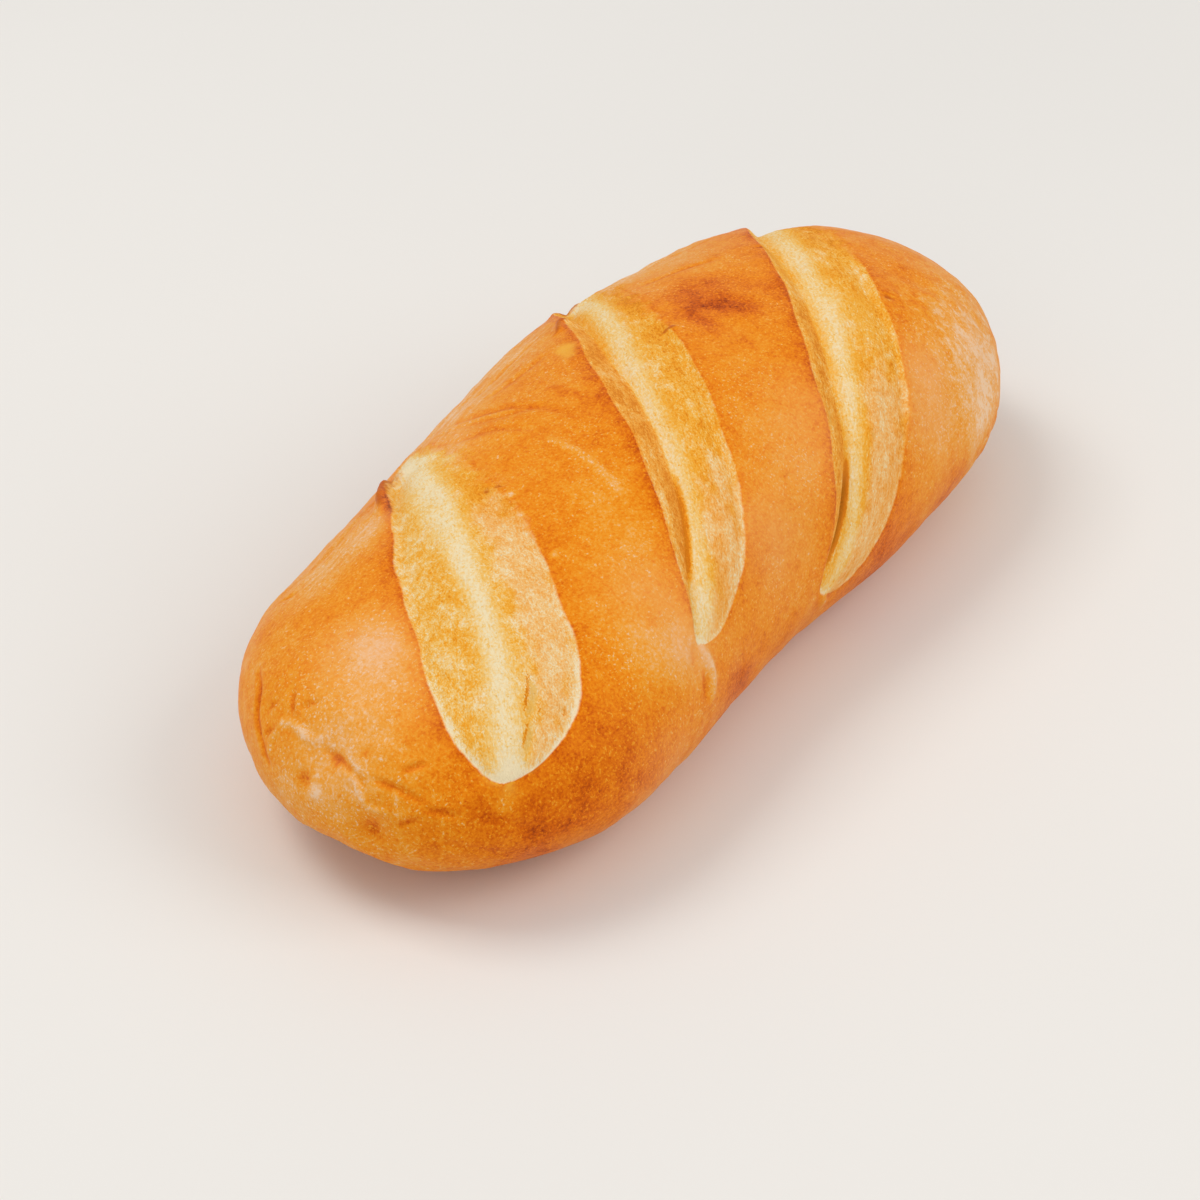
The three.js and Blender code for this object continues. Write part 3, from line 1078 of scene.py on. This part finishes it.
clouds = crust.noise(place, 24.0, 4.0, 0.55) - 0.5
mottle = crust.noise(place, 130.0, 4.0, 0.6) - 0.5
dapples = crust.noise(place, 420.0, 3.0, 0.6) - 0.5
grain = crust.noise(place, 1300.0, 2.0, 0.6) - 0.5
speck_patches = crust.noise(place, 50.0, 2.0, 0.5).between(0.35, 0.65)
blisters = crust.noise(place, 1500.0, 2.0, 0.5).between(0.56, 0.70)
large_blisters = crust.noise(place, 760.0, 2.0, 0.5).between(0.64, 0.76)
specks = blisters * (0.35 + 0.65 * speck_patches) + 0.9 * large_blisters
flakes = crust.noise(crust.stretched(skin_at, (0.62, 0.40, 1.0)), 1.0, 5.0, 0.7, 0.6)
flakes = flakes.between(0.52, 0.66) * (crust.painted("near_end") + 0.6 * crust.painted("far_end"))
along_streaks = crust.noise(crust.stretched(skin_at, (0.06, 0.75, 1.0)), 1.0, 3.0, 0.6)
round_streaks = crust.noise(crust.stretched(skin_at, (0.23, 0.15, 1.0)), 1.0, 5.0, 0.65, 1.0)
streaks = 0.8 * crust.painted("shoulder") * (along_streaks + 0.5 * mottle).between(0.40, 0.64)
streaks = streaks + crust.painted("far_end") * round_streaks.between(0.42, 0.66)

heat_and_light = 0.46 + 0.26 * clouds + 0.34 * mottle + 0.34 * dapples + 0.60 * grain
heat_and_light = heat_and_light - 0.28 * specks - 0.17 * flakes
heat_and_light = heat_and_light + crust.painted("browning") * (0.9 + 0.8 * mottle)
# groove: painted shade in fold grooves and a painted highlight on their rims
heat_and_light = heat_and_light + 0.28 * crust.painted("groove") - 0.26 * streaks
crust_colour = crust.ramp(heat_and_light, CRUST_STOPS)
# painted sheen: a paler pink blended in where the panels' soft reflection falls on the flanks,
# shoulder and near end
sheen_share = crust.painted("rosy") * (0.45 - 0.6 * mottle)
crust_colour = crust.blend(sheen_share, crust_colour, SHEEN_COLOUR)
butter_share = crust.painted("buttery").between(0.1, 0.9) * 0.85
crust_colour = crust.blend(butter_share, crust_colour, BUTTER)
char_share = (crust.painted("charred") + 1.4 * dapples + 0.5 * mottle).between(0.2, 0.85) * 0.85
crust_colour = crust.blend(char_share, crust_colour, CHARRED)
print("crust: heat into", len(CRUST_STOPS), "colours")

# %% [markdown]
# Inside the slashes the dough tore open late in the oven, so it is pale cream along the stripe
# that opened last, golden beside it, and peach towards the far edge and the tail, each with a
# ramp of its own. The wall under the near flap opened first and is tan, and it is painted darker
# as painted shade under the flap. The thin slit is painted brown, as painted shade in the crack.

# %% Colours of the opened dough
GOLD_STOPS = [
    (0.00, (0.87, 0.740, 0.480)),
    (0.30, (0.87, 0.575, 0.195)),
    (0.55, (0.87, 0.430, 0.052)),
    (0.80, (0.84, 0.320, 0.018)),
    (1.00, (0.70, 0.220, 0.010)),
]
PEACH_STOPS = [
    (0.00, (0.87, 0.740, 0.500)),
    (0.30, (0.87, 0.590, 0.265)),
    (0.55, (0.87, 0.460, 0.140)),
    (0.80, (0.85, 0.360, 0.070)),
    (1.00, (0.76, 0.260, 0.034)),
]
# the slit's brown is painted shade in the narrow crack
SLIT_SHADE = (0.44, 0.150, 0.010)
PIT_OLIVE = (0.78, 0.480, 0.120)

crumb_at = crust.painted("crumb_place", "Vector")
patches = crust.noise(crust.stretched(crumb_at, (0.09, 0.14, 1.0)), 1.0, 3.0, 0.5) - 0.5
flecks = crust.noise(crust.stretched(crumb_at, (0.34, 0.52, 1.0)), 1.0, 4.0, 0.6) - 0.5
wrinkles = crust.noise(crust.stretched(crumb_at, (0.55, 1.5, 1.0)), 1.0, 3.0, 0.6, 0.3) - 0.5
fine_flecks = crust.noise(crust.stretched(crumb_at, (1.6, 2.2, 1.0)), 1.0, 3.0, 0.6) - 0.5
edge_mm = crust.painted("inside")
wall_paint = crust.painted("wall")
fading_paint = crust.painted("fading")
pores = 1 - crust.cells(crumb_at, 0.5).between(0.05, 0.16)

stripe = crust.painted("pale") + 2.0 * flecks + 1.4 * fine_flecks + 1.0 * patches
stripe = stripe.between(0.2, 1.3)
edge_line = 1 - edge_mm.between(0.4, 2.6)
rim_zone = 1 - edge_mm.between(1.0, 6.0)
rimmed = crust.painted("rimmed")
bake = 0.56 + 1.0 * patches + 1.1 * flecks + 1.3 * fine_flecks + 0.8 * wrinkles + 0.6 * grain
# 0.20 * wall_paint darkens the wall under the near flap: painted shade under the flap, on top of
# its tan
bake = bake + crust.painted("baked") + 0.20 * wall_paint + 0.20 * fading_paint
bake = bake - 0.48 * stripe * (1 - wall_paint) - 0.12 * rim_zone * rimmed
bake = bake - (0.05 + 0.28 * rimmed) * edge_line * (1 - fading_paint)
pit = crust.painted("pit") + 1.2 * fine_flecks
pit_rim = (crust.painted("pit_rim") + 1.6 * fine_flecks).between(0.25, 0.7)
# pores: darker dots on the pale stripe, painted shade in the tiny holes
bake = bake + 0.35 * pores * stripe + 0.55 * pit_rim
# the slit is painted browner, then blended to brown below: painted shade in the crack
bake = bake + 0.75 * crust.painted("slit").between(0.02, 0.4)
gold_share = 0.15 + 0.75 * crust.painted("golden") + 2.0 * patches + 0.9 * flecks
gold_share = gold_share.between(0.1, 0.9) * (1 - 0.4 * wall_paint)
dough_colour = crust.blend(gold_share, crust.ramp(bake, PEACH_STOPS), crust.ramp(bake, GOLD_STOPS))
slit_shade_share = crust.painted("slit").between(0.35, 0.9) * 0.9
dough_colour = crust.blend(slit_shade_share, dough_colour, SLIT_SHADE)
dough_colour = crust.blend(pit.between(0.25, 0.65) * 0.7, dough_colour, PIT_OLIVE)

torn = crust.noise(place, 240.0, 5.0, 0.7) - 0.5
is_dough = (crust.painted("border") + torn * (1.6 + 1.8 * fading_paint)).between(-0.35, 0.65)
colour = crust.blend(is_dough * (1 - char_share), crust_colour, dough_colour)
print("dough: bake into", len(GOLD_STOPS), "golden and", len(PEACH_STOPS), "peach colours")

# %% Gloss and fine relief
SHEEN = 0.18                     # bread hardly shines
SHEEN_TINT = (1.0, 0.6, 0.2)     # and what shine there is stays warm
GRAIN_DEPTH = 0.0006             # metres

crust_height = 0.12 * specks + 0.25 * grain + 0.8 * mottle
dough_height = 0.7 * fine_flecks + 0.8 * flecks + 0.9 * wrinkles - 0.4 * pores
height = crust_height + is_dough * (dough_height - crust_height)
loaf_material = crust.finish(
    Base_Color=colour,
    Roughness=0.46 + 0.3 * mottle + 0.26 * is_dough,
    Normal=crust.bump(height, 0.6, GRAIN_DEPTH),
    Specular_IOR_Level=SHEEN,
    Specular_Tint=SHEEN_TINT,
)
loaf.data.materials.clear()
loaf.data.materials.append(loaf_material)
print("nodes in the loaf's material:", len(crust.tree.nodes))

# %% Paint the floor
floor_paint = PaintPot("pale_floor")
shade = floor_paint.noise(floor_paint.own_place(), 3.0, 2.0)
floor_colour = floor_paint.ramp(shade, [(0.3, (0.80, 0.79, 0.775)), (0.7, (0.82, 0.81, 0.795))])
floor.data.materials.append(floor_paint.finish(Base_Color=floor_colour, Roughness=0.7))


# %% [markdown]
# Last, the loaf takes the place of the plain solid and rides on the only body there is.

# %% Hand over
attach(loaf, "root")
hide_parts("loaf")
